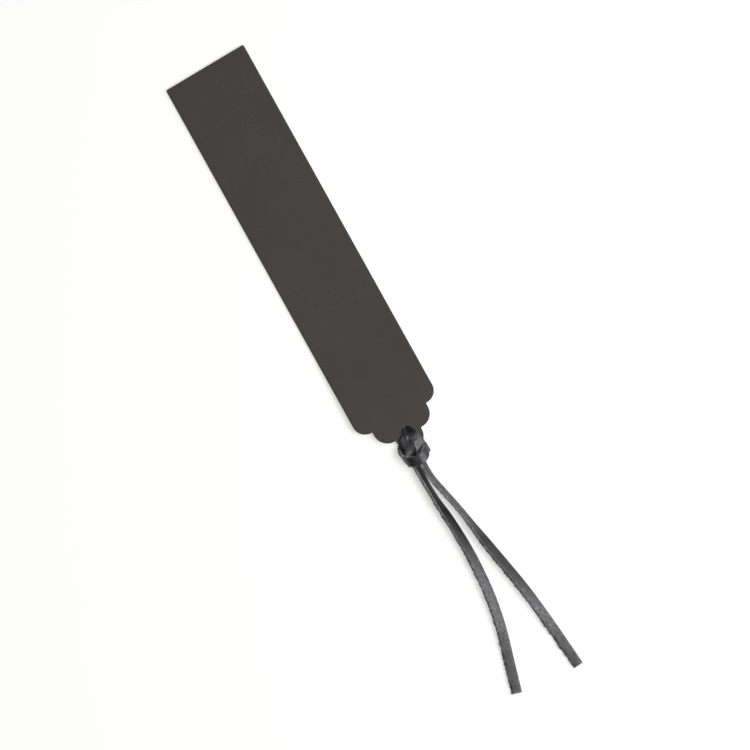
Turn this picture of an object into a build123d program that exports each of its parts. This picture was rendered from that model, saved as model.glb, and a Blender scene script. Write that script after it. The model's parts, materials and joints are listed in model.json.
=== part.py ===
from build123d import *
import math
import os

# Leather bookmark: a die-cut strip with a scalloped end, and a flat lace that hangs from it by a cow
# hitch through the hole in its tab.
# Millimetres, +Z up. The strip lies along X with its lace at +X. The origin is on the surface it lies
# on, under the middle of the strip.

# Leather strip
strip_length = 185.3  # from the longer corner of the straight end to the tip of the tab
strip_width = 38.0
strip_thickness = 1.6
end_skew = 1.75  # degrees by which the straight end is out of square
corner_radius = 0.8  # straight end's two corners
edge_bevel = 0.3  # rubbed edges of the two faces

# Scalloped end: two lobes each side, which fill the width left by a round tab
tab_radius = 6.0
tab_neck = 0.95  # straight side between the tab's round and the inner lobes
lobe_neck = 1.75  # straight side between the inner lobes and the outer ones
inner_share = 0.53  # inner lobe's share of the width beside the tab
tab_notch = 0.7  # depth of the notch beside the tab before the inner lobe's round starts
lobe_notch = 0.5  # depth of the notch between the lobes before the outer lobe's round starts
notch_radius = 1.4
hole_setback = 7.7  # from the tip of the tab to the middle of the hole
rise_setback = 14.0  # from the tip of the tab to where it lies level again
rise_run = 55.0  # length over which the strip rises to clear the lace under its tab

# Flat lace
lace_width = 4.4
lace_thickness = 1.5
squeezed_width = 2.2  # each leg where the hole gathers it
squeezed_thickness = 1.9
hole_clearance = 0.3  # round the two gathered legs
surface_gap = 0.1  # between the lace and what it lies on
tab_gap = 0.5  # between the lace and the tab above it
bend_gap = 0.3  # at each place where a tail bends
swing_range = 45.0  # degrees by which a tail can swing outward at the hitch
knuckle_radius = 1.0  # rounded root of each tail at its swing axis
root_roll = 58.0  # degrees by which the lace is rolled on edge where a tail leaves the hitch

# Lie of each tail: distance past its swing axis, distance across from the strip's middle line, and
# degrees by which the lace is rolled on edge
right_lie = [
    (-2.2, -0.55, root_roll),
    (6.4, -0.80, 66),
    (15.6, 1.30, 66),
    (24.9, 3.50, 68),
    (33.7, 5.10, 62),
    (43.2, 6.70, 0),
    (53.8, 8.65, 0),
    (66.5, 11.10, 0),
    (81.3, 13.10, 0),
    (94.1, 14.40, 0),
    (106.6, 15.50, 0),
]
left_lie = [
    (-2.2, -3.65, root_roll),
    (6.4, -3.75, 67),
    (16.2, -3.45, 62),
    (25.2, -2.65, 46),
    (33.4, -2.00, 24),
    (42.7, -1.70, 0),
    (52.7, -2.10, 0),
    (64.4, -3.20, 0),
    (77.1, -5.40, 0),
    (91.1, -9.40, 0),
    (104.3, -13.00, 0),
]
bend_run = 5  # number of the run in whose middle each tail can be lifted
section_step = 3.0  # spacing of the tails' cross-sections
hitch_steps = 2  # cross-sections of the hitch for each point of its route

# Places that follow from the sizes above
tip_x = strip_length / 2
hole_x = tip_x - hole_setback
beside_tab = strip_width / 2 - tab_radius
inner_half_width = tab_radius + inner_share * beside_tab
inner_radius = inner_half_width - tab_radius - tab_notch
outer_radius = strip_width / 2 - inner_half_width - lobe_notch
inner_lobe_x = tip_x - tab_radius - tab_neck - inner_radius
outer_lobe_x = inner_lobe_x - lobe_neck - outer_radius
leg_offset = squeezed_width / 2 + surface_gap
hole_radius = math.hypot(leg_offset + squeezed_width / 2, squeezed_thickness / 2) + hole_clearance
tab_under = surface_gap + lace_thickness + tab_gap
tab_top = tab_under + strip_thickness
swing_x = tip_x + 1.6 * lace_width


def strip_outline():
    """Plan outline of the strip, with its skewed end, lobes and tab."""
    half = strip_width / 2
    end_x = -strip_length / 2
    short_x = end_x + strip_width * math.tan(math.radians(end_skew))
    corners = ((end_x, half), (short_x, -half), (outer_lobe_x, -half), (outer_lobe_x, half))
    outline = make_face(Polyline(*corners, close=True))
    outline = fillet(outline.vertices().sort_by(Axis.X)[:2], corner_radius)
    lobes = ((outer_lobe_x, half, outer_radius), (inner_lobe_x, inner_half_width, inner_radius))
    for centre_x, reach, radius in lobes:
        shoulder = reach - radius
        outline += Pos(centre_x / 2, 0) * Rectangle(centre_x, 2 * reach)
        outline += Pos(centre_x, 0) * Rectangle(2 * radius, 2 * shoulder)
        for side in (1, -1):
            outline += Pos(centre_x, side * shoulder) * Circle(radius)
    outline += Pos(inner_lobe_x, 0) * Rectangle(2 * (tip_x - tab_radius - inner_lobe_x), 2 * tab_radius)
    outline += Pos(tip_x - tab_radius, 0) * Circle(tab_radius)
    return outline


def strip_blank():
    """The outline as a thick block, with its notches rounded."""
    block = extrude(strip_outline(), 2 * tab_top)
    notches = (
        (outer_lobe_x + outer_radius, inner_half_width, lobe_notch, lobe_neck),
        (inner_lobe_x + inner_radius, tab_radius, tab_notch, tab_neck),
    )
    for x, y, depth, neck in notches:
        corners = [
            edge
            for edge in block.edges().filter_by(Axis.Z)
            if math.hypot(edge.center().X - x, abs(edge.center().Y) - y) < depth / 2
        ]
        block = fillet(corners, min(notch_radius, 0.9 * depth, 0.9 * neck))
    return block


def strip_side():
    """Side profile of the strip: flat, then a gentle rise by two arcs to the level tab."""
    rise_start = tip_x - rise_setback - rise_run
    radius = (rise_run**2 + tab_under**2) / (4 * tab_under)
    turn = math.degrees(math.asin(rise_run / 2 / radius))
    border = []
    for level in (0, strip_thickness):
        flat = Line((-strip_length, level), (rise_start, level))
        up = JernArc(flat @ 1, (1, 0), radius - level, turn)
        over = JernArc(up @ 1, up % 1, radius + level, -turn)
        tab = Line(over @ 1, (strip_length, tab_under + level))
        border += [flat, up, over, tab]
    border += [Line(border[0] @ 0, border[4] @ 0), Line(border[3] @ 1, border[7] @ 1)]
    return make_face(border)


def make_strip():
    """The leather strip, with its edges bevelled and the hole for its lace."""
    side = extrude(Plane.XZ * strip_side(), strip_width, both=True)
    strip = strip_blank() & side
    upright = strip.edges().filter_by(Axis.Z)
    strip = chamfer([edge for edge in strip.edges() if edge not in upright], edge_bevel)
    return strip - Pos(hole_x, 0, tab_top) * Cylinder(hole_radius, 4 * tab_top)


def standing(roll):
    """Height of the lace's middle where it lies rolled on edge by this many degrees."""
    turn = math.radians(roll)
    return (lace_width * math.sin(turn) + lace_thickness * math.cos(turn)) / 2 + surface_gap


def rolled(roll, way=1):
    """Width axis of a lace that heads along X, with its +Y edge lowered by the roll."""
    turn = math.radians(roll)
    return (0, way * math.cos(turn), -way * math.sin(turn))


def hitch_route():
    """Control points of the hitch from the right tail to the left: place, width axis, width, thickness."""
    w = lace_width
    t = lace_thickness
    whole = (w, t)
    gathered = (squeezed_width, squeezed_thickness)
    tucked = (squeezed_width, t)
    easing = (0.8 * w, t)
    back = surface_gap + t / 2
    within = (tab_under + tab_top) / 2
    root = standing(root_roll)
    root_half = (w * math.cos(math.radians(root_roll)) + t * math.sin(math.radians(root_roll))) / 2
    leg_end = swing_x - root_half * math.sin(math.radians(swing_range)) - bend_gap
    right_leg = [
        (leg_end, right_lie[0][1], root, *rolled(root_roll), *whole),
        (leg_end - 0.25 * w, right_lie[0][1], root, *rolled(root_roll), *whole),
        (tip_x + 0.40 * w, 0.13 * w, tab_top + 0.05 * t, *rolled(42), *whole),
        (tip_x - 0.07 * w, 0.33 * w, tab_top + 1.17 * t, *rolled(26), *whole),
        (hole_x + 0.91 * w, 0.41 * w, tab_top + 1.23 * t, *rolled(19), *whole),
        (hole_x + 0.38 * w, 0.38 * w, tab_top + 1.17 * t, *rolled(12), *easing),
        (hole_x, leg_offset + 0.02 * w, tab_top + 0.87 * t, *rolled(4), *gathered),
        (hole_x, leg_offset, within, 0, 1, 0, *gathered),
        (hole_x, leg_offset, back, 0, 1, 0, *tucked),
    ]
    right_loop = [
        (hole_x + 0.48 * w, 0.39 * w, back, -0.20, 0.97, 0, *easing),
        (hole_x + 1.10 * w, 0.48 * w, back, -0.28, 0.96, 0, *whole),
        (tip_x - 0.02 * w, 0.74 * w, back + 0.24 * t, -0.60, 0.76, 0.20, *whole),
        (tip_x + 0.22 * w, 0.98 * w, within + 0.2 * t, -0.65, 0.25, 0.75, *whole),
        (tip_x + 0.45 * w, 0.96 * w, tab_top + 0.83 * t, -0.60, -0.10, 0.75, *whole),
    ]
    bar = [
        (tip_x + 0.78 * w, 0.60 * w, tab_top + 1.50 * t, -0.65, -0.10, 0.65, *whole),
        (tip_x + 1.03 * w, 0, tab_top + 1.90 * t, -0.97, -0.05, 0.20, *whole),
        (tip_x + 1.01 * w, -0.58 * w, tab_top + 1.97 * t, -1.00, 0.10, 0.10, *whole),
        (tip_x + 0.91 * w, -1.16 * w, tab_top + 1.80 * t, -0.90, 0.30, 0.20, *whole),
    ]
    left_loop = [
        (tip_x + 0.57 * w, -1.48 * w, tab_top + 0.87 * t, -0.60, 0.20, 0.70, *whole),
        (tip_x + 0.03 * w, -1.49 * w, within, -0.50, -0.10, 0.80, *whole),
        (tip_x - 0.45 * w, -1.24 * w, back + 0.23 * t, -0.40, -0.75, 0.28, *whole),
        (hole_x + 0.82 * w, -0.81 * w, back, -0.35, -0.93, 0, *whole),
        (hole_x + 0.38 * w, -0.46 * w, back, -0.30, -0.95, 0, *easing),
    ]
    left_leg = [
        (hole_x, -leg_offset, back, 0, -1, 0, *tucked),
        (hole_x, -leg_offset, within, 0, -1, 0, *gathered),
        (hole_x, -leg_offset - 0.03 * w, tab_top + 0.73 * t, *rolled(0, -1), *gathered),
        (hole_x + 0.38 * w, -0.52 * w, tab_top + 0.63 * t, *rolled(2, -1), *easing),
        (hole_x + 0.91 * w, -0.60 * w, tab_top + 0.67 * t, *rolled(4, -1), *whole),
        (tip_x - 0.07 * w, -0.63 * w, tab_top + 1.05 * t, *rolled(14, -1), *whole),
        (tip_x + 0.40 * w, -0.72 * w, tab_top + 0.07 * t, *rolled(36, -1), *whole),
        (leg_end - 0.25 * w, left_lie[0][1], root, *rolled(root_roll, -1), *whole),
        (leg_end, left_lie[0][1], root, *rolled(root_roll, -1), *whole),
    ]
    return right_leg + right_loop + bar + left_loop + left_leg


def smooth(rows, steps):
    """Points and slopes along a smooth curve that the rows pull towards themselves."""
    made = []
    for i in range(1, len(rows) - 1):
        start = rows[0] if i == 1 else [(a + b) / 2 for a, b in zip(rows[i - 1], rows[i])]
        end = rows[-1] if i == len(rows) - 2 else [(a + b) / 2 for a, b in zip(rows[i], rows[i + 1])]
        for k in range(steps + (i == len(rows) - 2)):
            u = k / steps
            curve = list(zip(start, rows[i], end))
            point = [(1 - u) ** 2 * a + 2 * u * (1 - u) * b + u**2 * c for a, b, c in curve]
            slope = [(1 - u) * (b - a) + u * (c - b) for a, b, c in curve]
            made.append((point, slope))
    return made


def hitch_sections():
    """Cross-sections of the lace at steps along the hitch."""
    sections = []
    for point, slope in smooth(hitch_route(), hitch_steps):
        heading = Vector(*slope[:3]).normalized()
        across = Vector(*point[3:6])
        across = across - heading * across.dot(heading)
        plane = Plane(origin=Vector(*point[:3]), x_dir=across.normalized(), z_dir=heading)
        sections.append(plane * Rectangle(*point[6:]))
    return sections


def make_hitch():
    """The lace's cow hitch: two legs up through the hole, and the loop round the tab that holds them."""
    sections = hitch_sections()
    starts = range(0, len(sections) - 1, hitch_steps)
    spans = [loft(sections[i : i + hitch_steps + 1], ruled=True) for i in starts]
    pairs = [(span, other) for i, span in enumerate(spans) for other in spans[i + 3 :]]
    near = [pair for pair in pairs if (pair[0].center() - pair[1].center()).length < 1.2 * lace_width]
    gap = min(span.distance_to(other) for span, other in near)
    print("hitch's least gap to itself", round(gap, 3))
    return loft(sections, ruled=True)


def tail_path(lie):
    """Plan path of a tail, with the largest arcs that its runs allow, and their radii."""
    points = [Vector(swing_x + along, across) for along, across, roll in lie]
    radii = []
    for before, here, after in zip(points, points[1:], points[2:]):
        turn = (here - before).get_angle(after - here)
        run = min((here - before).length, (after - here).length)
        radii.append(0.45 * run / math.tan(math.radians(turn / 2)))
    return FilletPolyline(*points, radius=radii), radii


def tail_roll(lie, x):
    """Degrees by which a tail is rolled on edge at this distance along."""
    for (near, _, first), (far, _, second) in zip(lie, lie[1:]):
        if x <= swing_x + far:
            return first + (second - first) * max(0, x - swing_x - near) / (far - near)
    return lie[-1][2]


def tail_section(lie, path, place):
    """Cross-section of a tail at this fraction of its path."""
    spot = path @ place
    heading = path % place
    roll = tail_roll(lie, spot.X)
    turn = math.radians(roll)
    across = Vector(-heading.Y * math.cos(turn), heading.X * math.cos(turn), -math.sin(turn))
    plane = Plane(origin=(spot.X, spot.Y, standing(roll)), x_dir=across, z_dir=heading)
    return plane * Rectangle(lace_width, lace_thickness)


def tail_stretch(lie, path, start, end):
    """The lace from one fraction of a tail's path to another."""
    count = math.ceil((end - start) * path.length / section_step)
    places = [start + (end - start) * i / count for i in range(count + 1)]
    return loft([tail_section(lie, path, place) for place in places], ruled=True)


def bend_place(lie, path):
    """Fraction of a tail's path at which it can be lifted."""
    middle = (lie[bend_run][0] + lie[bend_run + 1][0]) / 2
    low, high = 0.0, 1.0
    while high - low > 1e-9:
        half = (low + high) / 2
        if (path @ half).X < swing_x + middle:
            low = half
        else:
            high = half
    return low


def make_tail(lie):
    """The two stretches of a tail: one that swings at the hitch, and one that lifts off the surface."""
    path, radii = tail_path(lie)
    place = bend_place(lie, path)
    gap = bend_gap / 2 / path.length
    upper = tail_stretch(lie, path, 0, place - gap)
    lower = tail_stretch(lie, path, place + gap, 1)
    axis = Pos(swing_x, lie[0][1], 0)
    room = Box(path.length, path.length, path.length, align=(Align.MIN, Align.CENTER, Align.CENTER))
    upper = upper & (axis * (Cylinder(knuckle_radius, path.length) + room))
    spot = path @ place
    heading = path % place
    top = surface_gap + lace_thickness + bend_gap / 2
    print("  radii", [round(radius) for radius in radii], "path", round(path.length, 1))
    whole_volume = path.length * lace_width * lace_thickness
    print("  volume", round(upper.volume + lower.volume), "of", round(whole_volume))
    print("  swing at", (round(swing_x, 3), lie[0][1]))
    print("  lift at", (round(spot.X, 3), round(spot.Y, 3), top), "heading", (heading.X, heading.Y))
    return upper, lower


os.makedirs("parts", exist_ok=True)
pieces = {"leather_strip": make_strip(), "lace_hitch": make_hitch()}
for name, lie in (("right", right_lie), ("left", left_lie)):
    print(name, "tail")
    pieces[name + "_tail_upper"], pieces[name + "_tail_lower"] = make_tail(lie)
for name, piece in pieces.items():
    print(name, round(piece.volume, 1), piece.bounding_box(), piece.is_valid)
    export_step(piece, "parts/" + name + ".step")
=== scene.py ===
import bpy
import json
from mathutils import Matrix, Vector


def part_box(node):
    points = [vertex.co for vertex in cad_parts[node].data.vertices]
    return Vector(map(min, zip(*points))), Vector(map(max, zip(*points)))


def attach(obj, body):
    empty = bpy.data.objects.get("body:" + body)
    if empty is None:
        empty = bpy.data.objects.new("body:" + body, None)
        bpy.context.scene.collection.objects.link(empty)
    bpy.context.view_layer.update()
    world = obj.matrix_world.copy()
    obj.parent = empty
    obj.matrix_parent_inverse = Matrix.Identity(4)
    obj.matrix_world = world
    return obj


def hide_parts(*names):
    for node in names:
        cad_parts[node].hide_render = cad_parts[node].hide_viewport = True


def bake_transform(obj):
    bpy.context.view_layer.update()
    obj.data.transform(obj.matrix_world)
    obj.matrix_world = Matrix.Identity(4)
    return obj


bl_info = {
    "name": "Leather bookmark",
    "version": (1, 0, 0),
    "blender": (4, 5, 0),
    "location": "3D View > Sidebar > Bookmark",
    "description": "Dresses a leather bookmark: its cut strip, its hitched lace and the lace's loose tails",
    "category": "Object",
}

import functools
import json
import math

import bmesh
import bpy
import numpy as np
from bpy.props import FloatProperty, FloatVectorProperty, IntProperty, PointerProperty
from mathutils import Vector, noise

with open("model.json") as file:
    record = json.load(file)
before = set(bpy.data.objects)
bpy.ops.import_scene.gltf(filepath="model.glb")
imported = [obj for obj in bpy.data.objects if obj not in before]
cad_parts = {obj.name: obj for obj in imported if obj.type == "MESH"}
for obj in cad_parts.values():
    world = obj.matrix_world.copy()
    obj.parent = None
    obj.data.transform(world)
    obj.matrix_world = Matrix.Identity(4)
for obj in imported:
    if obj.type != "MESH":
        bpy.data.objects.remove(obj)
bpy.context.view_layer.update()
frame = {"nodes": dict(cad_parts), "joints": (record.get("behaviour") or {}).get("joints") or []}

# Places read from the frame, in metres
STRIP_LOW, STRIP_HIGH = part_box("leather_strip")
JOINTS = {joint["name"]: joint for joint in frame["joints"]}
SWING_X, RIGHT_ROOT_Y, _ = JOINTS["right_swing"]["pos_m"]
LEFT_ROOT_Y = JOINTS["left_swing"]["pos_m"][1]
TIP_X = STRIP_HIGH.x
TAB_TOP = STRIP_HIGH.z

# Lie of each tail, from its hitch outwards: metres past the swing axis, metres across from the strip's
# middle line, and degrees by which the lace is rolled on edge
RIGHT_LIE = [
    (0.0064, -0.00055, 68),
    (0.0156, 0.00170, 69),
    (0.0249, 0.00380, 69),
    (0.0337, 0.00520, 63),
    (0.0432, 0.00670, 31),
    (0.0538, 0.00880, 29),
    (0.0665, 0.01120, 24),
    (0.0813, 0.01310, 10),
    (0.0941, 0.01440, 1),
    (0.1066, 0.01555, 1),
]
LEFT_LIE = [
    (0.0064, -0.00360, 66),
    (0.0162, -0.00325, 63),
    (0.0252, -0.00230, 40),
    (0.0334, -0.00180, 35),
    (0.0427, -0.00160, 27),
    (0.0527, -0.00198, 17),
    (0.0644, -0.00300, 18),
    (0.0771, -0.00530, 9),
    (0.0911, -0.00925, 0),
    (0.1043, -0.01290, 3),
]

# Camera: straight down, turned so that the strip runs as in the photograph
VIEW_CENTRE = (0.05705, -0.0001)
VIEW_WIDTH = 0.3183
VIEW_TURN = 60.947
VIEW_HEIGHT = 1.5
SENSOR = 36.0

# Each lamp's place from the middle of the view, its width and its power, and the light of the world
LAMPS = {
    "softbox": ((0.325, 0.497, 1.12), 0.85, 15.0),
    "fill": ((0.30, 0.90, 0.75), 1.2, 4.5),
}
WORLD_LIGHT = 0.15

# Reach, level and finish of the floor
FLOOR_REACH = 12.0
FLOOR_LEVEL = -0.00005
FLOOR_ROUGHNESS = 0.9
FLOOR_SHINE = 0.1

# Lean of the strip's cut walls from top to bottom, and the share of the way down where they stay in place
CUT_LEAN = (-0.00015, -0.00026, 0)
LEAN_LEVEL = 0.7

# The strip's waves for each metre, and the step over which its slope is taken
STRIP_WAVES = 24
SLOPE_STEP = 0.0015

# How steep the normal of a flat face of the strip is at least, and that of its raw edge at most
FLAT_FACE = 0.9
RAW_EDGE = 0.5

# Degrees past which the strip's mesh is sharp, and how near its points are to be merged or cut as one
SHARP_ANGLE = 30
MERGE_REACH = 1e-7
CUT_REACH = 1e-8

# Cross-section of the lace: points along each face and each cut edge, and in each rounded corner
FACE_POINTS = 9
EDGE_POINTS = 3
CORNER_POINTS = 2

# Masks that the lace's mesh carries, and how frayed its edges towards +Y are against those towards -Y
MASKS = ("edge", "back", "fray", "crush")
FRAY_FAR_SIDE = 0.04

# Where the lace is parted into pieces, in control points from the near end of its hitch
RIGHT_SEAMS = {"right_knee": -0.9, "right_leg": 1.0}
LEFT_SEAMS = {"left_leg": -3.0, "left_knee": -1.1}

# Coarse and fine noise for each metre: nicks in the lace's frayed edges and dents in its faces
NICK_NOISE = (750, 1900)
DENT_NOISE = (420, 1300)
FINE_DENT = 0.5

# Folds of the crushed left leg for each metre along it and across it
LEG_FOLDS = (260.0, 900.0)

# Leather grain: scales of its warp and specks against its cells, how far it is warped, the width of a crease,
# the height of its specks, the range of noise that is spread out, and the depth of it all
WARP_SCALE = 0.6
WARP_REACH = 0.0003
CREASE = 0.25
SPECK_SCALE = 2.2
SPECK_HEIGHT = 0.45
NOISE_SPREAD = (0.3, 0.7)
GRAIN_DEPTH = 0.00005

# Finish of the strip: cells and patches for each metre, ranges of tone, specks and roughness, what a raw side
# adds to the roughness, its shine and the strength of its grain
STRIP_GRAIN = (1700.0, 45.0)
STRIP_TONES = (0.93, 1.07)
STRIP_SPECKS = (0.8, 1.2)
STRIP_ROUGHNESS = (0.58, 0.66)
STRIP_RAW = 0.25
STRIP_SHINE = 0.15
STRIP_BUMP = 0.35

# Finish of the lace, with streaks drawn along it and pale fibres on its edges and its crushed leg
LACE_GRAIN = (2200.0, 800.0)
LACE_STREAKS = (120.0, 2600.0, 1.0)
STREAK_SPREAD = (0.35, 0.7)
STREAK_HEIGHT = 0.3
EDGE_FIBRES = (0.4, 1.0)
CRUSHED_FIBRES = (0.0, 0.25)
LACE_ROUGHNESS = (0.52, 0.28)
LACE_RAW = 0.4
LACE_SHINE = 0.62
LACE_TINT = (0.95, 0.95, 1.0, 1.0)
LACE_BUMP = 0.4

# Loose fibres: seeds, clumps for each metre and the noise over which they thicken, lean in radians, sides and
# rings, lengths as shares of the longest, girth, sway and mottle for each metre, and roughness
FUZZ_SEEDS = {"hitch": 3, "right": 5, "left": 8}
CLUMPS = 700.0
CLUMP_SPREAD = (0.48, 0.66)
FIBRE_LEAN = (1.1, 1.1, 3.1)
FIBRE_SIDES = 3
FIBRE_RINGS = 4
SHORTEST = 0.05
SHORT_SPREAD = 0.14
FIBRE_GIRTH = 0.8
FIBRE_SWAY = 500.0
FIBRE_MOTTLE = 1500.0
FIBRE_ROUGHNESS = 0.8

# The higher the odds, the fewer of the fibres are stray hairs, which are longer and thicker by this much
STRAY_ODDS = 420.0
STRAY_LENGTH = 0.8
STRAY_GIRTH = 0.3


class BookmarkSizes(bpy.types.PropertyGroup):
    """Sizes of the lace and of the small detail on the leather."""

    lace_width: FloatProperty(
        name="Lace width", description="Width of the flat lace", default=0.0044, unit="LENGTH"
    )
    lace_thickness: FloatProperty(
        name="Lace thickness", description="Thickness of the flat lace", default=0.0015, unit="LENGTH"
    )
    squeezed_width: FloatProperty(
        name="Gathered width", description="Lace width inside the hole", default=0.0022, unit="LENGTH"
    )
    squeezed_thickness: FloatProperty(
        name="Gathered thickness", description="Lace thickness inside the hole",
        default=0.0019, unit="LENGTH",
    )
    bunched_thickness: FloatProperty(
        name="Bunched thickness", description="Lace thickness against the hole's far rim",
        default=0.0046, unit="LENGTH",
    )
    strip_thickness: FloatProperty(
        name="Strip thickness", description="Thickness of the strip", default=0.0016, unit="LENGTH"
    )
    hole_setback: FloatProperty(
        name="Hole setback", description="From the tab's tip to the hole", default=0.0077, unit="LENGTH"
    )
    surface_gap: FloatProperty(
        name="Surface gap", description="Between the lace and what it lies on",
        default=0.0001, unit="LENGTH",
    )
    root_roll: FloatProperty(
        name="Root roll", description="Roll of the lace where a tail leaves the hitch", default=58.0
    )
    corner_round: FloatProperty(
        name="Corner round", description="Radius of the lace's corners", default=0.00028, unit="LENGTH"
    )
    face_crown: FloatProperty(
        name="Face crown", description="Bulge of the lace's faces as a share of its thickness",
        default=0.06,
    )
    edge_rough: FloatProperty(
        name="Edge roughness", description="Unevenness of the lace's frayed edges",
        default=0.00048, unit="LENGTH",
    )
    edge_slant: FloatProperty(
        name="Edge slant", description="How far the flesh side shows past the grain side",
        default=0.00008, unit="LENGTH",
    )
    end_slant: FloatProperty(
        name="End slant", description="How far the flesh side shows past the cut ends",
        default=0.0005, unit="LENGTH",
    )
    tail_lift: FloatProperty(
        name="Tail lift", description="How far a tail's middle stands off the surface",
        default=0.0008, unit="LENGTH",
    )
    tail_crumple: FloatProperty(
        name="Tail crumple", description="Unevenness of the lace's faces",
        default=0.00006, unit="LENGTH",
    )
    leg_crumple: FloatProperty(
        name="Leg crumple", description="Unevenness of the crushed left leg",
        default=0.00022, unit="LENGTH",
    )
    fold_slant: FloatProperty(
        name="Fold slant", description="Slant of the right leg's fold into the hole", default=0.5
    )
    steps: IntProperty(
        name="Steps", description="Rings of the lace for each point of its route", default=36
    )
    strip_wave: FloatProperty(
        name="Strip wave", description="Height of the strip's slight waves",
        default=0.00016, unit="LENGTH",
    )
    strip_grid: FloatProperty(
        name="Strip grid", description="Spacing of the strip's mesh", default=0.004, unit="LENGTH"
    )
    bend_reach: FloatProperty(
        name="Bend reach", description="Length of lace that bends each side of a lift",
        default=0.007, unit="LENGTH",
    )
    fibre_length: FloatProperty(
        name="Fibre length", description="Longest loose fibre on a cut edge",
        default=0.0030, unit="LENGTH",
    )
    fibre_radius: FloatProperty(
        name="Fibre radius", description="Radius of a loose fibre at its root",
        default=0.00008, unit="LENGTH",
    )
    fibre_curl: FloatProperty(
        name="Fibre curl", description="How far a loose fibre bends at its tip",
        default=0.0012, unit="LENGTH",
    )
    fibre_density: FloatProperty(
        name="Fibre density", description="Loose fibres for each square metre of cut edge", default=3e7
    )


class BookmarkColours(bpy.types.PropertyGroup):
    """Colours of the leather and the stage, as linear values."""

    strip_face: FloatVectorProperty(
        name="Strip face", description="Grain side of the strip", subtype="COLOR",
        default=(0.0540, 0.0476, 0.0440),
    )
    strip_edge: FloatVectorProperty(
        name="Strip edge", description="Raw cut edge of the strip", subtype="COLOR",
        default=(0.105, 0.062, 0.036),
    )
    strip_back: FloatVectorProperty(
        name="Strip back", description="Flesh side of the strip", subtype="COLOR",
        default=(0.075, 0.062, 0.052),
    )
    lace_face: FloatVectorProperty(
        name="Lace face", description="Grain side of the lace", subtype="COLOR",
        default=(0.009, 0.009, 0.0105),
    )
    lace_worn: FloatVectorProperty(
        name="Worn lace", description="Rubbed patches of the lace", subtype="COLOR",
        default=(0.024, 0.024, 0.028),
    )
    lace_edge: FloatVectorProperty(
        name="Lace edge", description="Fibrous cut edge of the lace", subtype="COLOR",
        default=(0.275, 0.272, 0.280),
    )
    lace_back: FloatVectorProperty(
        name="Lace back", description="Flesh side of the lace", subtype="COLOR",
        default=(0.050, 0.045, 0.041),
    )
    lace_end: FloatVectorProperty(
        name="Lace end", description="Cut end of the lace", subtype="COLOR",
        default=(0.330, 0.235, 0.185),
    )
    floor: FloatVectorProperty(
        name="Floor", description="The pale floor", subtype="COLOR", default=(0.50, 0.50, 0.50)
    )
    floor_lift: FloatVectorProperty(
        name="Floor lift", description="White added to the floor for the camera", subtype="COLOR",
        default=(0.535, 0.535, 0.512),
    )


def sizes():
    """The sizes that the panel shows."""
    return bpy.context.scene.bookmark_sizes


def colour(name):
    """One of the colours that the panel shows, with its alpha."""
    return (*getattr(bpy.context.scene.bookmark_colours, name), 1.0)


def link(obj):
    """Puts a new object in the scene."""
    bpy.context.scene.collection.objects.link(obj)
    return obj


# The lace's route

def standing(roll):
    """Height of the lace's middle where it lies rolled on edge by this many degrees."""
    s = sizes()
    turn = math.radians(roll)
    return (s.lace_width * abs(math.sin(turn)) + s.lace_thickness * math.cos(turn)) / 2 + s.surface_gap


def rolled(roll, way=1):
    """Width axis of a lace that heads along X, with its +Y edge lowered by the roll."""
    turn = math.radians(roll)
    return (0, way * math.cos(turn), -way * math.sin(turn))


def tail_rows(lie, way):
    """Control points of one tail: place, width axis, width, thickness, skew, unevenness and slant."""
    s = sizes()
    rows = []
    for i, (along, across, roll) in enumerate(lie):
        before = lie[max(i - 1, 0)]
        after = lie[min(i + 1, len(lie) - 1)]
        heading = Vector((after[0] - before[0], after[1] - before[1])).normalized()
        turn = math.radians(roll)
        axis = (-heading.y * math.cos(turn), heading.x * math.cos(turn), -math.sin(turn))
        lift = s.tail_lift * math.sin(math.pi * i / (len(lie) - 1))
        place = (SWING_X + along, across, standing(roll) + lift)
        skew = -way * s.edge_slant
        wide = [way * a for a in axis]
        rows.append((*place, *wide, s.lace_width, s.lace_thickness, skew, s.tail_crumple, 0))
    return rows


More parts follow.
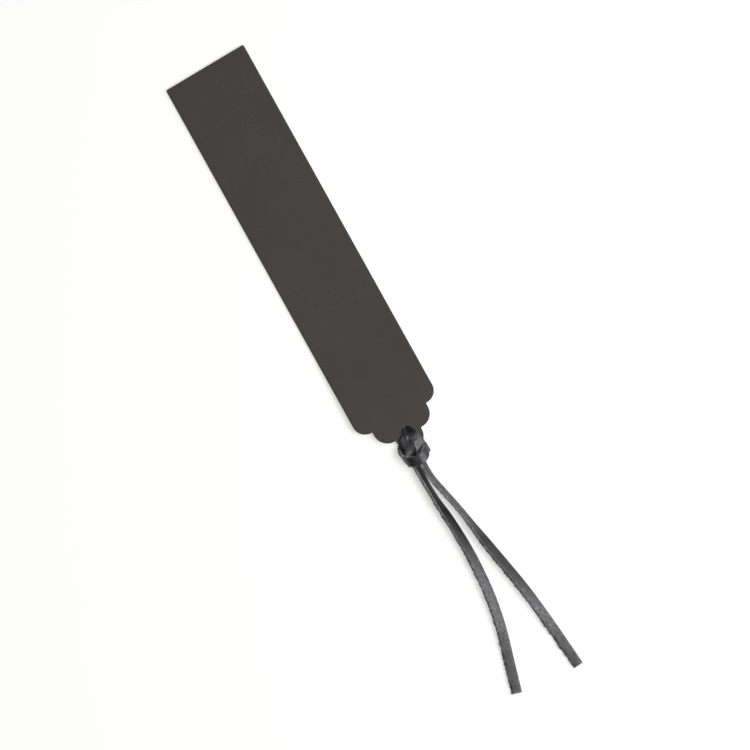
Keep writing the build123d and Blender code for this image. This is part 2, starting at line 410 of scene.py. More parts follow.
def hitch_rows():
    """Control points of the hitch, from the right tail's root to the left's, as in a tail's rows."""
    s = sizes()
    w = s.lace_width
    t = s.lace_thickness
    whole = (w, t)
    gathered = (s.squeezed_width, s.squeezed_thickness)
    tucked = (s.squeezed_width, t)
    easing = (0.8 * w, t)
    hole_x = TIP_X - s.hole_setback
    leg_offset = s.squeezed_width / 2 + s.surface_gap
    back = s.surface_gap + t / 2
    within = TAB_TOP - s.strip_thickness / 2
    root = standing(s.root_roll)
    leg_end = SWING_X - 0.36 * w
    behind = hole_x - 0.22 * w
    bunched = (1.05 * s.squeezed_width, s.bunched_thickness)
    # Most places are shares of the lace's width or thickness away from the tab's tip, top or hole
    right_leg = [
        (leg_end, RIGHT_ROOT_Y, root, *rolled(s.root_roll), *whole),
        (leg_end - 0.25 * w, RIGHT_ROOT_Y, root, *rolled(s.root_roll), *whole),
        (TIP_X + 0.62 * w, 0.14 * w, TAB_TOP + 0.28 * t, *rolled(38), *whole),
        (TIP_X + 0.25 * w, 0.34 * w, TAB_TOP + 1.25 * t, *rolled(20), *whole),
        (hole_x + 1.25 * w, 0.46 * w, TAB_TOP + 1.60 * t, *rolled(15), *whole),
    ]
    right_fold = [
        (hole_x + 0.80 * w, 0.46 * w, TAB_TOP + 1.42 * t, *rolled(10), *whole),
        (hole_x + 0.44 * w, 0.43 * w, TAB_TOP + 1.24 * t, *rolled(6), *whole),
        (hole_x + 0.20 * w, 0.40 * w, TAB_TOP + 0.98 * t, *rolled(4), 0.86 * w, t),
        (hole_x + 0.06 * w, 0.34 * w, TAB_TOP + 0.05 * t, *rolled(0), 0.62 * w, t),
    ]
    right_loop = [
        (behind, leg_offset, back + 0.3 * t, 0, 1, 0, *bunched),
        (behind + 0.07 * w, leg_offset, back, 0, 1, 0, *tucked),
        (hole_x + 0.48 * w, 0.39 * w, back, -0.20, 0.97, 0, *easing),
        (hole_x + 1.10 * w, 0.48 * w, back, -0.28, 0.96, 0, *whole),
        (TIP_X + 0.04 * w, 0.72 * w, back + 0.24 * t, -0.78, 0.36, 0.36, *whole),
        (TIP_X + 0.38 * w, 1.06 * w, within + 0.45 * t, -0.66, -0.12, 0.74, *whole),
        (TIP_X + 0.49 * w, 0.77 * w, TAB_TOP + 1.32 * t, -0.80, 0.04, 0.50, *whole),
    ]
    bar = [
        (TIP_X + 0.93 * w, 0.33 * w, TAB_TOP + 1.80 * t, -0.93, -0.22, 0.14, *whole),
        (TIP_X + 1.10 * w, -0.05 * w, TAB_TOP + 2.05 * t, -0.99, -0.08, 0.04, *whole),
        (TIP_X + 1.05 * w, -0.55 * w, TAB_TOP + 1.85 * t, -1.00, 0.10, 0.06, *whole),
        (TIP_X + 0.88 * w, -1.02 * w, TAB_TOP + 1.45 * t, -0.90, 0.30, 0.20, *whole),
    ]
    left_loop = [
        (TIP_X + 0.57 * w, -1.34 * w, TAB_TOP + 0.70 * t, -0.60, 0.20, 0.70, *whole),
        (TIP_X + 0.03 * w, -1.60 * w, within, -0.50, -0.10, 0.80, *whole),
        (TIP_X - 0.49 * w, -1.14 * w, back + 0.23 * t, -0.40, -0.75, 0.28, *whole),
        (hole_x + 0.82 * w, -0.81 * w, back, -0.35, -0.93, 0, *whole),
        (hole_x + 0.38 * w, -0.46 * w, back, -0.30, -0.95, 0, *easing),
    ]
    left_leg = [
        (behind + 0.07 * w, -leg_offset, back, 0, -1, 0, *tucked),
        (behind, -leg_offset, back + 0.3 * t, 0, -1, 0, *bunched),
        (hole_x + 0.16 * w, -leg_offset, TAB_TOP + 0.60 * t, *rolled(0, -1), *gathered),
        (hole_x + 0.46 * w, -0.46 * w, TAB_TOP + 0.74 * t, *rolled(-6, -1), *easing),
        (hole_x + 0.95 * w, -0.56 * w, TAB_TOP + 0.80 * t, *rolled(-12, -1), *whole),
        (TIP_X - 0.02 * w, -0.59 * w, TAB_TOP + 0.92 * t, *rolled(-4, -1), *whole),
        (TIP_X + 0.42 * w, -0.72 * w, TAB_TOP + 0.07 * t, *rolled(30, -1), *whole),
        (leg_end - 0.25 * w, LEFT_ROOT_Y, root, *rolled(s.root_roll, -1), *whole),
        (leg_end, LEFT_ROOT_Y, root, *rolled(s.root_roll, -1), *whole),
    ]
    even = (0, s.tail_crumple, 0)
    slanted = (0, s.tail_crumple, -s.fold_slant)
    crushed = (0, s.leg_crumple, 0)
    rows = [(*row, *even) for row in right_leg]
    rows += [(*row, *slanted) for row in right_fold]
    rows += [(*row, *even) for row in right_loop + bar + left_loop]
    return rows + [(*row, *crushed) for row in left_leg]


def spline_points(rows, steps):
    """Points along the smooth NURBS line that has these rows as its control points."""
    curve = bpy.data.curves.new("route", "CURVE")
    curve.dimensions = "3D"
    curve.resolution_u = steps
    spline = curve.splines.new("NURBS")
    spline.points.add(len(rows) - 1)
    for point, row in zip(spline.points, rows):
        point.co = (*row, 1.0)
    spline.order_u = 3
    spline.use_endpoint_u = True
    route = link(bpy.data.objects.new("route", curve))
    mesh = bpy.data.meshes.new_from_object(route)
    points = np.array([vertex.co for vertex in mesh.vertices])
    bpy.data.meshes.remove(mesh)
    bpy.data.objects.remove(route)
    bpy.data.curves.remove(curve)
    return points


def unit(vectors):
    """The vectors at length 1."""
    return vectors / np.linalg.norm(vectors, axis=-1, keepdims=True)


@functools.lru_cache(maxsize=None)
def lace_line():
    """The whole lace's middle line, from the right tail's end to the left's, with its axes and sizes."""
    s = sizes()
    right = tail_rows(RIGHT_LIE, 1)
    left = tail_rows(LEFT_LIE, -1)
    hitch = hitch_rows()
    rows = right[::-1] + hitch + left
    middle = spline_points([row[:3] for row in rows], s.steps)
    across = spline_points([row[3:6] for row in rows], s.steps)
    spans = spline_points([(row[6], row[7], 0) for row in rows], s.steps)
    cuts = spline_points([row[8:11] for row in rows], s.steps)
    heading = unit(np.gradient(middle, axis=0))
    across = unit(across - (across * heading).sum(1)[:, None] * heading)
    outward = np.cross(across, heading)
    lowest = (np.abs(across[:, 2]) * spans[:, 0] + np.abs(outward[:, 2]) * spans[:, 1]) / 2 + s.surface_gap
    middle[:, 2] = np.maximum(middle[:, 2], lowest)
    run = np.concatenate([[0], np.cumsum(np.linalg.norm(np.diff(middle, axis=0), axis=1))])
    count = len(middle) - 1
    share = count / (len(rows) - 2)
    marks = {name: round((len(right) + row) * share) for name, row in RIGHT_SEAMS.items()}
    marks |= {name: round((len(right) + len(hitch) + row) * share) for name, row in LEFT_SEAMS.items()}
    marks["end"] = count
    return {
        "middle": middle,
        "heading": heading,
        "across": across,
        "outward": outward,
        "spans": spans,
        "cuts": cuts,
        "run": run,
        "marks": marks,
    }


def section(half_width, half_thick, corner, crown):
    """Outline of the lace's cross-section, anticlockwise, with each point's shares of edge and back."""
    points = []
    for turn in range(4):
        long_side = turn % 2 == 0
        reach = (half_width if long_side else half_thick) - corner
        level = half_thick if long_side else half_width
        count = FACE_POINTS if long_side else EDGE_POINTS
        for i in range(count):
            a = reach * (1 - 2 * i / (count - 1))
            bulge = crown * half_thick * (1 - (a / reach) ** 2) if long_side else 0
            points.append((turn, a, level + bulge, 0 if long_side else 1))
        for i in range(CORNER_POINTS):
            angle = math.pi / 2 * (i + 1) / (CORNER_POINTS + 1)
            a = -reach - corner * math.sin(angle)
            b = level - corner + corner * math.cos(angle)
            points.append((turn, a, b, angle / (math.pi / 2) if long_side else 1 - angle / (math.pi / 2)))
    outline = []
    for turn, a, b, edge in points:
        x, y = ((a, b), (-b, a), (-a, -b), (b, -a))[turn]
        outline.append((x, y, edge, max(0.0, -y / half_thick) if edge < 1 else 0.0))
    return outline


@functools.lru_cache(maxsize=None)
def lace_skin():
    """Rings of points over the whole lace, with their normals, masks and surface coordinates."""
    s = sizes()
    line = lace_line()
    last = len(line["middle"]) - 1
    ends = {0: line["middle"][0] - line["middle"][1], last: line["middle"][last] - line["middle"][last - 1]}
    ends = {key: unit(value) * s.end_slant for key, value in ends.items()}
    rings = []
    masks = []
    maps = []
    for i, (width, thick, _) in enumerate(line["spans"]):
        outline = section(width / 2, thick / 2, s.corner_round, s.face_crown)
        skew, crumple, slant = line["cuts"][i]
        sideways = line["across"][i] + slant * line["heading"][i]
        crush = max(0.0, (crumple - s.tail_crumple) / (s.leg_crumple - s.tail_crumple))
        place = line["middle"][i]
        ring = []
        around = 0.0
        previous = outline[-1]
        for x, y, edge, back in outline:
            side = x + skew * (0.5 - y / thick)
            spot = Vector(place + sideways * side + line["outward"][i] * y)
            out = unit(np.array([x / width**2, y / thick**2]))
            away = line["across"][i] * out[0] + line["outward"][i] * out[1]
            fray = edge if away[1] < 0 else FRAY_FAR_SIDE * edge
            coarse, fine = (noise.noise(spot * scale) for scale in NICK_NOISE)
            nick = s.edge_rough * fray * (coarse + fine)
            coarse, fine = (noise.noise(spot * scale) for scale in DENT_NOISE)
            dent = s.tail_crumple * (coarse + FINE_DENT * fine)
            fold = Vector((line["run"][i] * LEG_FOLDS[0], side * LEG_FOLDS[1], 0))
            dent += crush * s.leg_crumple * noise.noise(fold)
            ring.append(np.array(spot) + away * (nick + dent) + ends.get(i, 0) * (0.5 - y / thick))
            around += math.dist((x, y), previous[:2])
            previous = (x, y)
            maps.append((line["run"][i], around))
            masks.append((edge, back, fray, crush))
        rings.append(ring)
    rings = np.array(rings)
    along = np.gradient(rings, axis=0)
    round_it = np.roll(rings, -1, axis=1) - np.roll(rings, 1, axis=1)
    normals = unit(np.cross(along, round_it))
    count = rings.shape[1]
    return {
        "rings": rings,
        "normals": normals,
        "masks": np.array(masks).reshape(-1, count, len(MASKS)),
        "maps": np.array(maps).reshape(-1, count, 2),
    }


def lace_piece(name, first, last, material):
    """One stretch of the lace as a closed mesh, with the normals of the whole lace along its seams."""
    skin = lace_skin()
    rings = skin["rings"][first : last + 1]
    count = rings.shape[1]
    ring_count = rings.shape[0]
    faces = []
    for i in range(ring_count - 1):
        for j in range(count):
            k = (j + 1) % count
            faces.append((i * count + j, (i + 1) * count + j, (i + 1) * count + k, i * count + k))
    faces.append(tuple(range(count)))
    faces.append(tuple((ring_count - 1) * count + j for j in reversed(range(count))))
    mesh = bpy.data.meshes.new(name)
    mesh.from_pydata(rings.reshape(-1, 3).tolist(), [], faces)
    vertex_normals = skin["normals"][first : last + 1].reshape(-1, 3)
    masks = skin["masks"][first : last + 1].reshape(-1, len(MASKS))
    maps = skin["maps"][first : last + 1].reshape(-1, 2)
    for index, label in enumerate(MASKS):
        values = masks[:, index].astype(np.float32)
        mesh.attributes.new(label, "FLOAT", "POINT").data.foreach_set("value", values)
    cut = mesh.attributes.new("cut", "FLOAT", "FACE")
    cut.data[len(faces) - 2].value = first == 0
    cut.data[len(faces) - 1].value = last == lace_line()["marks"]["end"]
    layer = mesh.uv_layers.new(name="lace")
    normals = []
    for face in mesh.polygons:
        face.use_smooth = True
        flat = face.index >= len(faces) - 2
        for loop in face.loop_indices:
            vertex = mesh.loops[loop].vertex_index
            layer.data[loop].uv = maps[vertex]
            normals.append(tuple(face.normal) if flat else tuple(vertex_normals[vertex]))
    mesh.normals_split_custom_set(normals)
    mesh.materials.append(material)
    return link(bpy.data.objects.new(name, mesh))


# Materials

def new_material(name):
    """An empty node material and its Principled shader."""
    material = bpy.data.materials.new(name)
    material.use_nodes = True
    return material, material.node_tree, material.node_tree.nodes["Principled BSDF"]


def node(tree, kind, **settings):
    """A new node with some of its settings and, by their names, its input values."""
    made = tree.nodes.new(kind)
    for key, value in settings.items():
        if hasattr(made, key):
            setattr(made, key, value)
        else:
            made.inputs[key.replace("_", " ")].default_value = value
    return made


def feed(tree, socket, value):
    """Gives an input a plain value, or links it to another node's socket."""
    if isinstance(value, bpy.types.NodeSocket):
        tree.links.new(value, socket)
    else:
        socket.default_value = value


def mix(tree, factor, first, second, blend="MIX"):
    """A colour mix whose three inputs are sockets or plain values."""
    made = tree.nodes.new("ShaderNodeMix")
    made.data_type = "RGBA"
    made.blend_type = blend
    for socket, value in zip((made.inputs[0], made.inputs[6], made.inputs[7]), (factor, first, second)):
        feed(tree, socket, value)
    return made.outputs[2]


def math_node(tree, operation, *values):
    """A maths node whose inputs are sockets or plain values."""
    made = tree.nodes.new("ShaderNodeMath")
    made.operation = operation
    for socket, value in zip(made.inputs, values):
        feed(tree, socket, value)
    return made.outputs[0]


def remap(tree, value, low, high, new_low=0.0, new_high=1.0):
    """A value taken from one range to another and held there."""
    made = node(tree, "ShaderNodeMapRange")
    tree.links.new(value, made.inputs["Value"])
    for key, number in zip(("From Min", "From Max", "To Min", "To Max"), (low, high, new_low, new_high)):
        made.inputs[key].default_value = number
    return made.outputs["Result"]


def attribute(tree, name):
    """A mask that the mesh carries."""
    return node(tree, "ShaderNodeAttribute", attribute_name=name).outputs["Fac"]


@functools.lru_cache(maxsize=None)
def grain_group():
    """Leather grain: pebbled cells with creases between them, and slow patches of tone."""
    tree = bpy.data.node_groups.new("leather_grain", "ShaderNodeTree")
    tree.interface.new_socket(name="Vector", in_out="INPUT", socket_type="NodeSocketVector")
    for name, default in zip(("Cells", "Patches"), STRIP_GRAIN):
        socket = tree.interface.new_socket(name=name, in_out="INPUT", socket_type="NodeSocketFloat")
        socket.default_value = default
    for name in ("Height", "Patch", "Speckle"):
        tree.interface.new_socket(name=name, in_out="OUTPUT", socket_type="NodeSocketFloat")
    enter = node(tree, "NodeGroupInput")
    leave = node(tree, "NodeGroupOutput")
    warp = node(tree, "ShaderNodeTexNoise", Detail=2.0)
    tree.links.new(enter.outputs["Vector"], warp.inputs["Vector"])
    tree.links.new(math_node(tree, "MULTIPLY", enter.outputs["Cells"], WARP_SCALE), warp.inputs["Scale"])
    bent = node(tree, "ShaderNodeVectorMath", operation="MULTIPLY_ADD")
    tree.links.new(warp.outputs["Color"], bent.inputs[0])
    bent.inputs[1].default_value = (WARP_REACH, WARP_REACH, WARP_REACH)
    tree.links.new(enter.outputs["Vector"], bent.inputs[2])
    cells = node(tree, "ShaderNodeTexVoronoi", feature="DISTANCE_TO_EDGE")
    tree.links.new(bent.outputs[0], cells.inputs["Vector"])
    tree.links.new(enter.outputs["Cells"], cells.inputs["Scale"])
    pebble = remap(tree, cells.outputs["Distance"], 0.0, CREASE)
    patches = node(tree, "ShaderNodeTexNoise", Detail=4.0, Roughness=0.6)
    tree.links.new(enter.outputs["Vector"], patches.inputs["Vector"])
    tree.links.new(enter.outputs["Patches"], patches.inputs["Scale"])
    speckle = node(tree, "ShaderNodeTexNoise", Detail=3.0, Roughness=0.7)
    tree.links.new(enter.outputs["Vector"], speckle.inputs["Vector"])
    tree.links.new(math_node(tree, "MULTIPLY", enter.outputs["Cells"], SPECK_SCALE), speckle.inputs["Scale"])
    height = math_node(tree, "MULTIPLY_ADD", speckle.outputs["Fac"], SPECK_HEIGHT, pebble)
    tree.links.new(height, leave.inputs["Height"])
    tree.links.new(remap(tree, patches.outputs["Fac"], *NOISE_SPREAD), leave.inputs["Patch"])
    tree.links.new(remap(tree, speckle.outputs["Fac"], *NOISE_SPREAD), leave.inputs["Speckle"])
    return tree


def grain(tree, vector, cells, patches):
    """The grain group placed in a material."""
    made = tree.nodes.new("ShaderNodeGroup")
    made.node_tree = grain_group()
    tree.links.new(vector, made.inputs["Vector"])
    made.inputs["Cells"].default_value = cells
    made.inputs["Patches"].default_value = patches
    return made


@functools.lru_cache(maxsize=None)
def strip_material():
    """Matt charcoal leather with a fine grain, raw brown edges and a suede back."""
    material, tree, shader = new_material("strip_leather")
    place = node(tree, "ShaderNodeTexCoord").outputs["Object"]
    leather = grain(tree, place, *STRIP_GRAIN)
    face = colour("strip_face")[:3]
    dark, light = ([c * share for c in face] + [1] for share in STRIP_TONES)
    tone = mix(tree, leather.outputs["Patch"], dark, light)
    specks = remap(tree, leather.outputs["Speckle"], 0.0, 1.0, *STRIP_SPECKS)
    tone = mix(tree, 1.0, tone, specks, "MULTIPLY")
    rim = attribute(tree, "rim")
    back = attribute(tree, "back")
    tone = mix(tree, back, tone, colour("strip_back"))
    tone = mix(tree, rim, tone, colour("strip_edge"))
    tree.links.new(tone, shader.inputs["Base Color"])
    dull = remap(tree, leather.outputs["Patch"], 0.0, 1.0, *STRIP_ROUGHNESS)
    raw = math_node(tree, "MAXIMUM", rim, back)
    tree.links.new(math_node(tree, "MULTIPLY_ADD", raw, STRIP_RAW, dull), shader.inputs["Roughness"])
    shader.inputs["Specular IOR Level"].default_value = STRIP_SHINE
    bump = node(tree, "ShaderNodeBump", Strength=STRIP_BUMP, Distance=GRAIN_DEPTH)
    tree.links.new(leather.outputs["Height"], bump.inputs["Height"])
    tree.links.new(bump.outputs["Normal"], shader.inputs["Normal"])
    return material


@functools.lru_cache(maxsize=None)
def lace_material():
    """Soft black-grey lace: satin grain side with rubbed patches, fibrous cut edges and tan cut ends."""
    material, tree, shader = new_material("lace_leather")
    coords = node(tree, "ShaderNodeTexCoord")
    leather = grain(tree, coords.outputs["Object"], *LACE_GRAIN)
    drawn = node(tree, "ShaderNodeMapping")
    drawn.inputs["Scale"].default_value = LACE_STREAKS
    tree.links.new(coords.outputs["UV"], drawn.inputs["Vector"])
    streak = node(tree, "ShaderNodeTexNoise", Scale=1.0, Detail=4.0, Roughness=0.65)
    tree.links.new(drawn.outputs["Vector"], streak.inputs["Vector"])
    streaks = remap(tree, streak.outputs["Fac"], *STREAK_SPREAD)
    edge = attribute(tree, "edge")
    back = attribute(tree, "back")
    rubbed = math_node(tree, "MULTIPLY", leather.outputs["Patch"], streaks)
    tone = mix(tree, rubbed, colour("lace_face"), colour("lace_worn"))
    tone = mix(tree, back, tone, colour("lace_back"))
    pulled = remap(tree, streaks, 0.0, 1.0, *CRUSHED_FIBRES)
    crushed = math_node(tree, "MULTIPLY", attribute(tree, "crush"), pulled)
    ragged = math_node(tree, "MAXIMUM", edge, crushed)
    patchy = remap(tree, leather.outputs["Patch"], 0.0, 1.0, *EDGE_FIBRES)
    fibres = math_node(tree, "MULTIPLY", ragged, patchy)
    tone = mix(tree, fibres, tone, colour("lace_edge"))
    tone = mix(tree, attribute(tree, "cut"), tone, colour("lace_end"))
    tree.links.new(tone, shader.inputs["Base Color"])
    raw = math_node(tree, "MAXIMUM", edge, back)
    satin = remap(tree, leather.outputs["Patch"], 0.0, 1.0, *LACE_ROUGHNESS)
    rough = math_node(tree, "MULTIPLY_ADD", raw, LACE_RAW, satin)
    tree.links.new(rough, shader.inputs["Roughness"])
    shader.inputs["Specular IOR Level"].default_value = LACE_SHINE
    shader.inputs["Specular Tint"].default_value = LACE_TINT
    height = math_node(tree, "MULTIPLY_ADD", streaks, STREAK_HEIGHT, leather.outputs["Height"])
    bump = node(tree, "ShaderNodeBump", Strength=LACE_BUMP, Distance=GRAIN_DEPTH)
    tree.links.new(height, bump.inputs["Height"])
    tree.links.new(bump.outputs["Normal"], shader.inputs["Normal"])
    return material


@functools.lru_cache(maxsize=None)
def fibre_material():
    """Loose fibres of the lace's cut edges."""
    material, tree, shader = new_material("lace_fibre")
    place = node(tree, "ShaderNodeTexCoord").outputs["Object"]
    tufts = node(tree, "ShaderNodeTexNoise", Scale=FIBRE_MOTTLE, Detail=2.0)
    tree.links.new(place, tufts.inputs["Vector"])
    tone = mix(tree, tufts.outputs["Fac"], colour("lace_face"), colour("lace_back"))
    tree.links.new(tone, shader.inputs["Base Color"])
    shader.inputs["Roughness"].default_value = FIBRE_ROUGHNESS
    return material


@functools.lru_cache(maxsize=None)
def floor_material():
    """A plain pale floor that shows white to the camera and keeps the shadow."""
    material, tree, shader = new_material("pale_floor")
    shader.inputs["Base Color"].default_value = colour("floor")
    shader.inputs["Roughness"].default_value = FLOOR_ROUGHNESS
    shader.inputs["Specular IOR Level"].default_value = FLOOR_SHINE
    shader.inputs["Emission Color"].default_value = colour("floor_lift")
    path = node(tree, "ShaderNodeLightPath")
    seen = math_node(tree, "MAXIMUM", path.outputs["Is Camera Ray"], path.outputs["Is Glossy Ray"])
    seen = math_node(tree, "MAXIMUM", seen, path.outputs["Is Transmission Ray"])
    tree.links.new(seen, shader.inputs["Emission Strength"])
    return material


# Loose fibres along cut edges

@functools.lru_cache(maxsize=None)
def fuzz_tree():
    """Geometry nodes that stand short tapered fibres on a lace's cut edges."""
    tree = bpy.data.node_groups.new("lace_fuzz", "GeometryNodeTree")
    sockets = tree.interface
    sockets.new_socket(name="Geometry", in_out="INPUT", socket_type="NodeSocketGeometry")
    for name, kind in (
        ("Density", "NodeSocketFloat"),
        ("Length", "NodeSocketFloat"),
        ("Radius", "NodeSocketFloat"),
        ("Curl", "NodeSocketFloat"),
        ("Seed", "NodeSocketInt"),
        ("Material", "NodeSocketMaterial"),
    ):
        sockets.new_socket(name=name, in_out="INPUT", socket_type=kind)
    sockets.new_socket(name="Geometry", in_out="OUTPUT", socket_type="NodeSocketGeometry")
    join = tree.links.new
    enter = node(tree, "NodeGroupInput")
    leave = node(tree, "NodeGroupOutput")
    edge = node(tree, "GeometryNodeInputNamedAttribute", data_type="FLOAT")
    edge.inputs["Name"].default_value = "fray"
    clumps = node(tree, "ShaderNodeTexNoise", Scale=CLUMPS, Detail=1.0)
    clumped = remap(tree, clumps.outputs["Fac"], *CLUMP_SPREAD)
    tufts = math_node(tree, "MULTIPLY", edge.outputs["Attribute"], clumped)
    thick = math_node(tree, "MULTIPLY", tufts, enter.outputs["Density"])
    scatter = node(tree, "GeometryNodeDistributePointsOnFaces", distribute_method="RANDOM")
    join(enter.outputs["Geometry"], scatter.inputs["Mesh"])
    join(thick, scatter.inputs["Density"])
    join(enter.outputs["Seed"], scatter.inputs["Seed"])
    fibre = node(tree, "GeometryNodeMeshCone", fill_type="NONE")
    fibre.inputs["Vertices"].default_value = FIBRE_SIDES
    fibre.inputs["Side Segments"].default_value = FIBRE_RINGS
    fibre.inputs["Radius Top"].default_value = 0.0
    join(enter.outputs["Radius"], fibre.inputs["Radius Bottom"])
    join(enter.outputs["Length"], fibre.inputs["Depth"])
    lean = node(tree, "FunctionNodeRandomValue", data_type="FLOAT_VECTOR")
    lean.inputs["Min"].default_value = [-angle for angle in FIBRE_LEAN]
    lean.inputs["Max"].default_value = FIBRE_LEAN
    join(enter.outputs["Seed"], lean.inputs["Seed"])
    turned = node(tree, "FunctionNodeEulerToRotation")
    join(lean.outputs["Value"], turned.inputs["Euler"])
    leaning = node(tree, "FunctionNodeRotateRotation", rotation_space="LOCAL")
    join(scatter.outputs["Rotation"], leaning.inputs["Rotation"])
    join(turned.outputs["Rotation"], leaning.inputs["Rotate By"])
    place = node(tree, "GeometryNodeInputPosition")
    height = node(tree, "ShaderNodeSeparateXYZ")
    join(place.outputs["Position"], height.inputs["Vector"])
    tip = math_node(tree, "DIVIDE", height.outputs["Z"], enter.outputs["Length"])
    marked = node(tree, "GeometryNodeStoreNamedAttribute", data_type="FLOAT", domain="POINT")
    marked.inputs["Name"].default_value = "tip"
    join(fibre.outputs["Mesh"], marked.inputs["Geometry"])
    join(tip, marked.inputs["Value"])
    chance = node(tree, "FunctionNodeRandomValue", data_type="FLOAT")
    join(enter.outputs["Seed"], chance.inputs["Seed"])
    draw = [socket for socket in chance.outputs if socket.enabled][0]
    stray = math_node(tree, "POWER", draw, STRAY_ODDS)
    short = math_node(tree, "MULTIPLY_ADD", draw, SHORT_SPREAD, SHORTEST)
    long = math_node(tree, "MULTIPLY_ADD", stray, STRAY_LENGTH, short)
    girth = math_node(tree, "MULTIPLY_ADD", stray, STRAY_GIRTH, FIBRE_GIRTH)
    scale = node(tree, "ShaderNodeCombineXYZ")
    for axis, value in zip("XYZ", (girth, girth, long)):
        join(value, scale.inputs[axis])
    stand = node(tree, "GeometryNodeInstanceOnPoints")
    join(scatter.outputs["Points"], stand.inputs["Points"])
    join(marked.outputs["Geometry"], stand.inputs["Instance"])
    join(leaning.outputs["Rotation"], stand.inputs["Rotation"])
    join(scale.outputs["Vector"], stand.inputs["Scale"])
    real = node(tree, "GeometryNodeRealizeInstances")
    join(stand.outputs["Instances"], real.inputs["Geometry"])
    sway = node(tree, "ShaderNodeTexNoise", Scale=FIBRE_SWAY, Detail=1.0)
    centred = node(tree, "ShaderNodeVectorMath", operation="SUBTRACT")
    join(sway.outputs["Color"], centred.inputs[0])
    centred.inputs[1].default_value = (0.5, 0.5, 0.5)
    tipped = node(tree, "GeometryNodeInputNamedAttribute", data_type="FLOAT")
    tipped.inputs["Name"].default_value = "tip"
    curl = math_node(tree, "MULTIPLY", tipped.outputs["Attribute"], enter.outputs["Curl"])
    offset = node(tree, "ShaderNodeVectorMath", operation="SCALE")
    join(centred.outputs["Vector"], offset.inputs[0])
    join(curl, offset.inputs["Scale"])
    bent = node(tree, "GeometryNodeSetPosition")
    join(real.outputs["Geometry"], bent.inputs["Geometry"])
    join(offset.outputs["Vector"], bent.inputs["Offset"])
    above = node(tree, "GeometryNodeSetPosition")
    join(bent.outputs["Geometry"], above.inputs["Geometry"])
    level = node(tree, "ShaderNodeSeparateXYZ")
    join(place.outputs["Position"], level.inputs["Vector"])
    raised = node(tree, "ShaderNodeCombineXYZ")
    join(level.outputs["X"], raised.inputs["X"])
    join(level.outputs["Y"], raised.inputs["Y"])
    join(math_node(tree, "MAXIMUM", level.outputs["Z"], 0.0), raised.inputs["Z"])
    join(raised.outputs["Vector"], above.inputs["Position"])
    paint = node(tree, "GeometryNodeSetMaterial")
    join(above.outputs["Geometry"], paint.inputs["Geometry"])
    join(enter.outputs["Material"], paint.inputs["Material"])
    join(paint.outputs["Geometry"], leave.inputs["Geometry"])
    return tree


def fuzz_piece(name, lace, seed):
    """The loose fibres of one stretch of lace, as a plain mesh of their own."""
    s = sizes()
    grower = link(bpy.data.objects.new(name + "_grower", lace.data))
    modifier = grower.modifiers.new("fuzz", "NODES")
    modifier.node_group = fuzz_tree()
    values = {
        "Density": s.fibre_density,
        "Length": s.fibre_length,
        "Radius": s.fibre_radius,
        "Curl": s.fibre_curl,
        "Seed": seed,
        "Material": fibre_material(),
    }
    for item in modifier.node_group.interface.items_tree:
        if item.in_out == "INPUT" and item.name in values:
            modifier[item.identifier] = values[item.name]
    graph = bpy.context.evaluated_depsgraph_get()
    mesh = bpy.data.meshes.new_from_object(grower.evaluated_get(graph), depsgraph=graph)
    bpy.data.objects.remove(grower)
    mesh.name = name
    return link(bpy.data.objects.new(name, mesh))


# Operators

class BOOKMARK_OT_stage(bpy.types.Operator):
    """Sets the camera, the soft studio light and the pale floor"""

    bl_idname = "bookmark.stage"
    bl_label = "Stage"

    def execute(self, context):
        scene = context.scene
        scene.view_settings.view_transform = "Standard"
        camera = bpy.data.cameras.new("camera")
        camera.sensor_width = SENSOR
        camera.lens = SENSOR * VIEW_HEIGHT / VIEW_WIDTH
        eye = link(bpy.data.objects.new("camera", camera))
        eye.location = (*VIEW_CENTRE, VIEW_HEIGHT)
        eye.rotation_euler = (0.0, 0.0, math.radians(VIEW_TURN))
        scene.camera = eye
        world = bpy.data.worlds.new("studio")
        scene.world = world
        world.use_nodes = True
        background = world.node_tree.nodes["Background"]
        background.inputs["Color"].default_value = (1.0, 1.0, 1.0, 1.0)
        background.inputs["Strength"].default_value = WORLD_LIGHT
        for name, values in LAMPS.items():
            self.lamp(name, *values)
        self.floor()
        return {"FINISHED"}

    def lamp(self, name, place, width, power):
        """A square soft light that faces the middle of the view."""
        light = bpy.data.lights.new(name, "AREA")
        light.size = width
        light.energy = power
        lamp = link(bpy.data.objects.new(name, light))
        centre = Vector((*VIEW_CENTRE, 0.0))
        lamp.location = centre + Vector(place)
        lamp.rotation_euler = (centre - lamp.location).to_track_quat("-Z", "Y").to_euler()

    def floor(self):
        """A wide plane just under the bookmark."""
        mesh = bpy.data.meshes.new("floor")
        corners = ((-1, -1), (1, -1), (1, 1), (-1, 1))
        points = [(FLOOR_REACH * x, FLOOR_REACH * y, FLOOR_LEVEL) for x, y in corners]
        mesh.from_pydata(points, [], [(0, 1, 2, 3)])
        mesh.materials.append(floor_material())
        link(bpy.data.objects.new("floor", mesh))


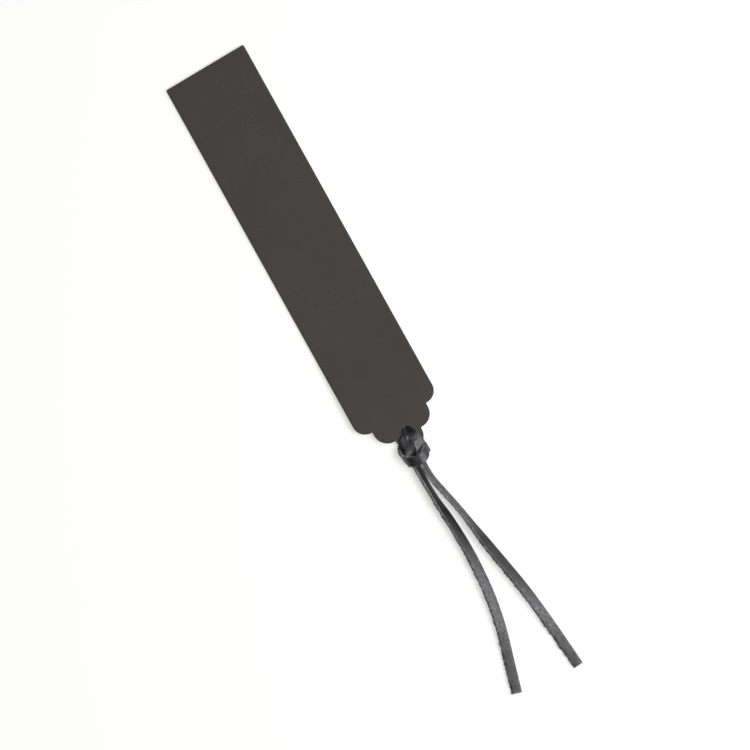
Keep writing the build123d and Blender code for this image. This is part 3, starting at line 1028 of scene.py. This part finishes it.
class BOOKMARK_OT_strip(bpy.types.Operator):
    """Makes the leather strip from its solid, with slight waves and raw edges"""

    bl_idname = "bookmark.strip"
    bl_label = "Leather strip"

    def execute(self, context):
        s = sizes()
        shape = bmesh.new()
        shape.from_mesh(frame["nodes"]["leather_strip"].data)
        bmesh.ops.remove_doubles(shape, verts=shape.verts, dist=MERGE_REACH)
        for axis in (0, 1):
            normal = Vector((axis == 0, axis == 1, 0))
            place = STRIP_LOW[axis] + s.strip_grid
            while place < STRIP_HIGH[axis]:
                everything = shape.verts[:] + shape.edges[:] + shape.faces[:]
                bmesh.ops.bisect_plane(
                    shape, geom=everything, dist=CUT_REACH, plane_co=normal * place, plane_no=normal
                )
                place += s.strip_grid
        rim = [abs(face.normal.z) < RAW_EDGE for face in shape.faces]
        back = [face.normal.z < -FLAT_FACE for face in shape.faces]
        under = sorted({(v.co.x, v.co.z) for f in shape.faces if f.normal.z < -FLAT_FACE for v in f.verts})
        levels = list(zip(*under))
        for vertex in shape.verts:
            level = np.interp(vertex.co.x, *levels)
            low = 1 - min(max((vertex.co.z - level) / s.strip_thickness, 0), 1)
            vertex.co.z += self.wave(vertex.co.x, vertex.co.y)
            vertex.co += Vector(CUT_LEAN) * (low - LEAN_LEVEL)
        mesh = bpy.data.meshes.new("strip")
        shape.to_mesh(mesh)
        shape.free()
        for label, mask in (("rim", rim), ("back", back)):
            values = np.array(mask, np.float32)
            mesh.attributes.new(label, "FLOAT", "FACE").data.foreach_set("value", values)
        mesh.shade_smooth()
        mesh.set_sharp_from_angle(angle=math.radians(SHARP_ANGLE))
        self.smooth_faces(mesh, levels)
        mesh.materials.append(strip_material())
        strip = link(bpy.data.objects.new("strip", mesh))
        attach(strip, "strip")
        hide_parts("leather_strip")
        return {"FINISHED"}

    def wave(self, x, y):
        """Height of the strip's slight waves above its flat lie."""
        return sizes().strip_wave * (0.5 + 0.5 * noise.noise(Vector((x, y, 0)) * STRIP_WAVES))

    def smooth_faces(self, mesh, levels):
        """Gives the strip's two faces the normals of its lie and its waves, so that no triangle shows."""
        def slope(x, y, axis):
            ends = []
            for way in (1, -1):
                a = x + way * SLOPE_STEP * (axis == 0)
                b = y + way * SLOPE_STEP * (axis == 1)
                ends.append(np.interp(a, *levels) + self.wave(a, b))
            return (ends[0] - ends[1]) / (2 * SLOPE_STEP)

        normals = [tuple(corner.vector) for corner in mesh.corner_normals]
        for face in mesh.polygons:
            if abs(face.normal.z) > FLAT_FACE:
                for loop in face.loop_indices:
                    x, y, _ = mesh.vertices[mesh.loops[loop].vertex_index].co
                    up = Vector((-slope(x, y, 0), -slope(x, y, 1), 1)).normalized()
                    normals[loop] = tuple(up if face.normal.z > 0 else -up)
        mesh.normals_split_custom_set(normals)


class BOOKMARK_OT_hitch(bpy.types.Operator):
    """Makes the lace's cow hitch round the tab"""

    bl_idname = "bookmark.hitch"
    bl_label = "Cow hitch"

    def execute(self, context):
        marks = lace_line()["marks"]
        hitch = lace_piece("hitch", marks["right_leg"], marks["left_leg"], lace_material())
        fuzz = fuzz_piece("hitch_fuzz", hitch, FUZZ_SEEDS["hitch"])
        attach(hitch, "strip")
        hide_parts("lace_hitch")
        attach(fuzz, "strip")
        return {"FINISHED"}


class BOOKMARK_OT_tails(bpy.types.Operator):
    """Makes the lace's two loose tails and the short knees that join them to the hitch"""

    bl_idname = "bookmark.tails"
    bl_label = "Tails"

    def execute(self, context):
        marks = lace_line()["marks"]
        self.tail("right", marks["right_leg"], marks["right_knee"], 0)
        self.tail("left", marks["left_leg"], marks["left_knee"], marks["end"])
        return {"FINISHED"}

    def tail(self, side, leg, knee, end):
        """One tail: a knee next to the hitch, and a free length with its loose fibres."""
        line = lace_line()
        bend = lace_piece(side + "_knee", min(leg, knee), max(leg, knee), lace_material())
        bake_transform(bend)
        free = lace_piece(side + "_tail", min(knee, end), max(knee, end), lace_material())
        fuzz = fuzz_piece(side + "_tail_fuzz", free, FUZZ_SEEDS[side])
        for piece in (free, fuzz):
            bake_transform(piece)
        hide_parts(side + "_tail_upper", side + "_tail_lower")
        path = line["middle"][min(knee, end) : max(knee, end) + 1]
        path = path[::-1] if side == "right" else path


class BOOKMARK_PT_panel(bpy.types.Panel):
    """Lists the bookmark's pieces, sizes and colours"""

    bl_label = "Bookmark"
    bl_space_type = "VIEW_3D"
    bl_region_type = "UI"
    bl_category = "Bookmark"

    def draw(self, context):
        for operator in OPERATORS:
            self.layout.operator(operator.bl_idname)
        for group in (context.scene.bookmark_sizes, context.scene.bookmark_colours):
            for key in group.__annotations__:
                self.layout.prop(group, key)


OPERATORS = (BOOKMARK_OT_stage, BOOKMARK_OT_tails, BOOKMARK_OT_hitch, BOOKMARK_OT_strip)
CLASSES = (BookmarkSizes, BookmarkColours, *OPERATORS, BOOKMARK_PT_panel)


def register():
    for item in CLASSES:
        bpy.utils.register_class(item)
    bpy.types.Scene.bookmark_sizes = PointerProperty(type=BookmarkSizes)
    bpy.types.Scene.bookmark_colours = PointerProperty(type=BookmarkColours)


def unregister():
    del bpy.types.Scene.bookmark_colours
    del bpy.types.Scene.bookmark_sizes
    for item in reversed(CLASSES):
        bpy.utils.unregister_class(item)


def main():
    register()
    bpy.ops.bookmark.stage()
    bpy.ops.bookmark.tails()
    bpy.ops.bookmark.hitch()
    bpy.ops.bookmark.strip()


if __name__ == "__main__":
    main()
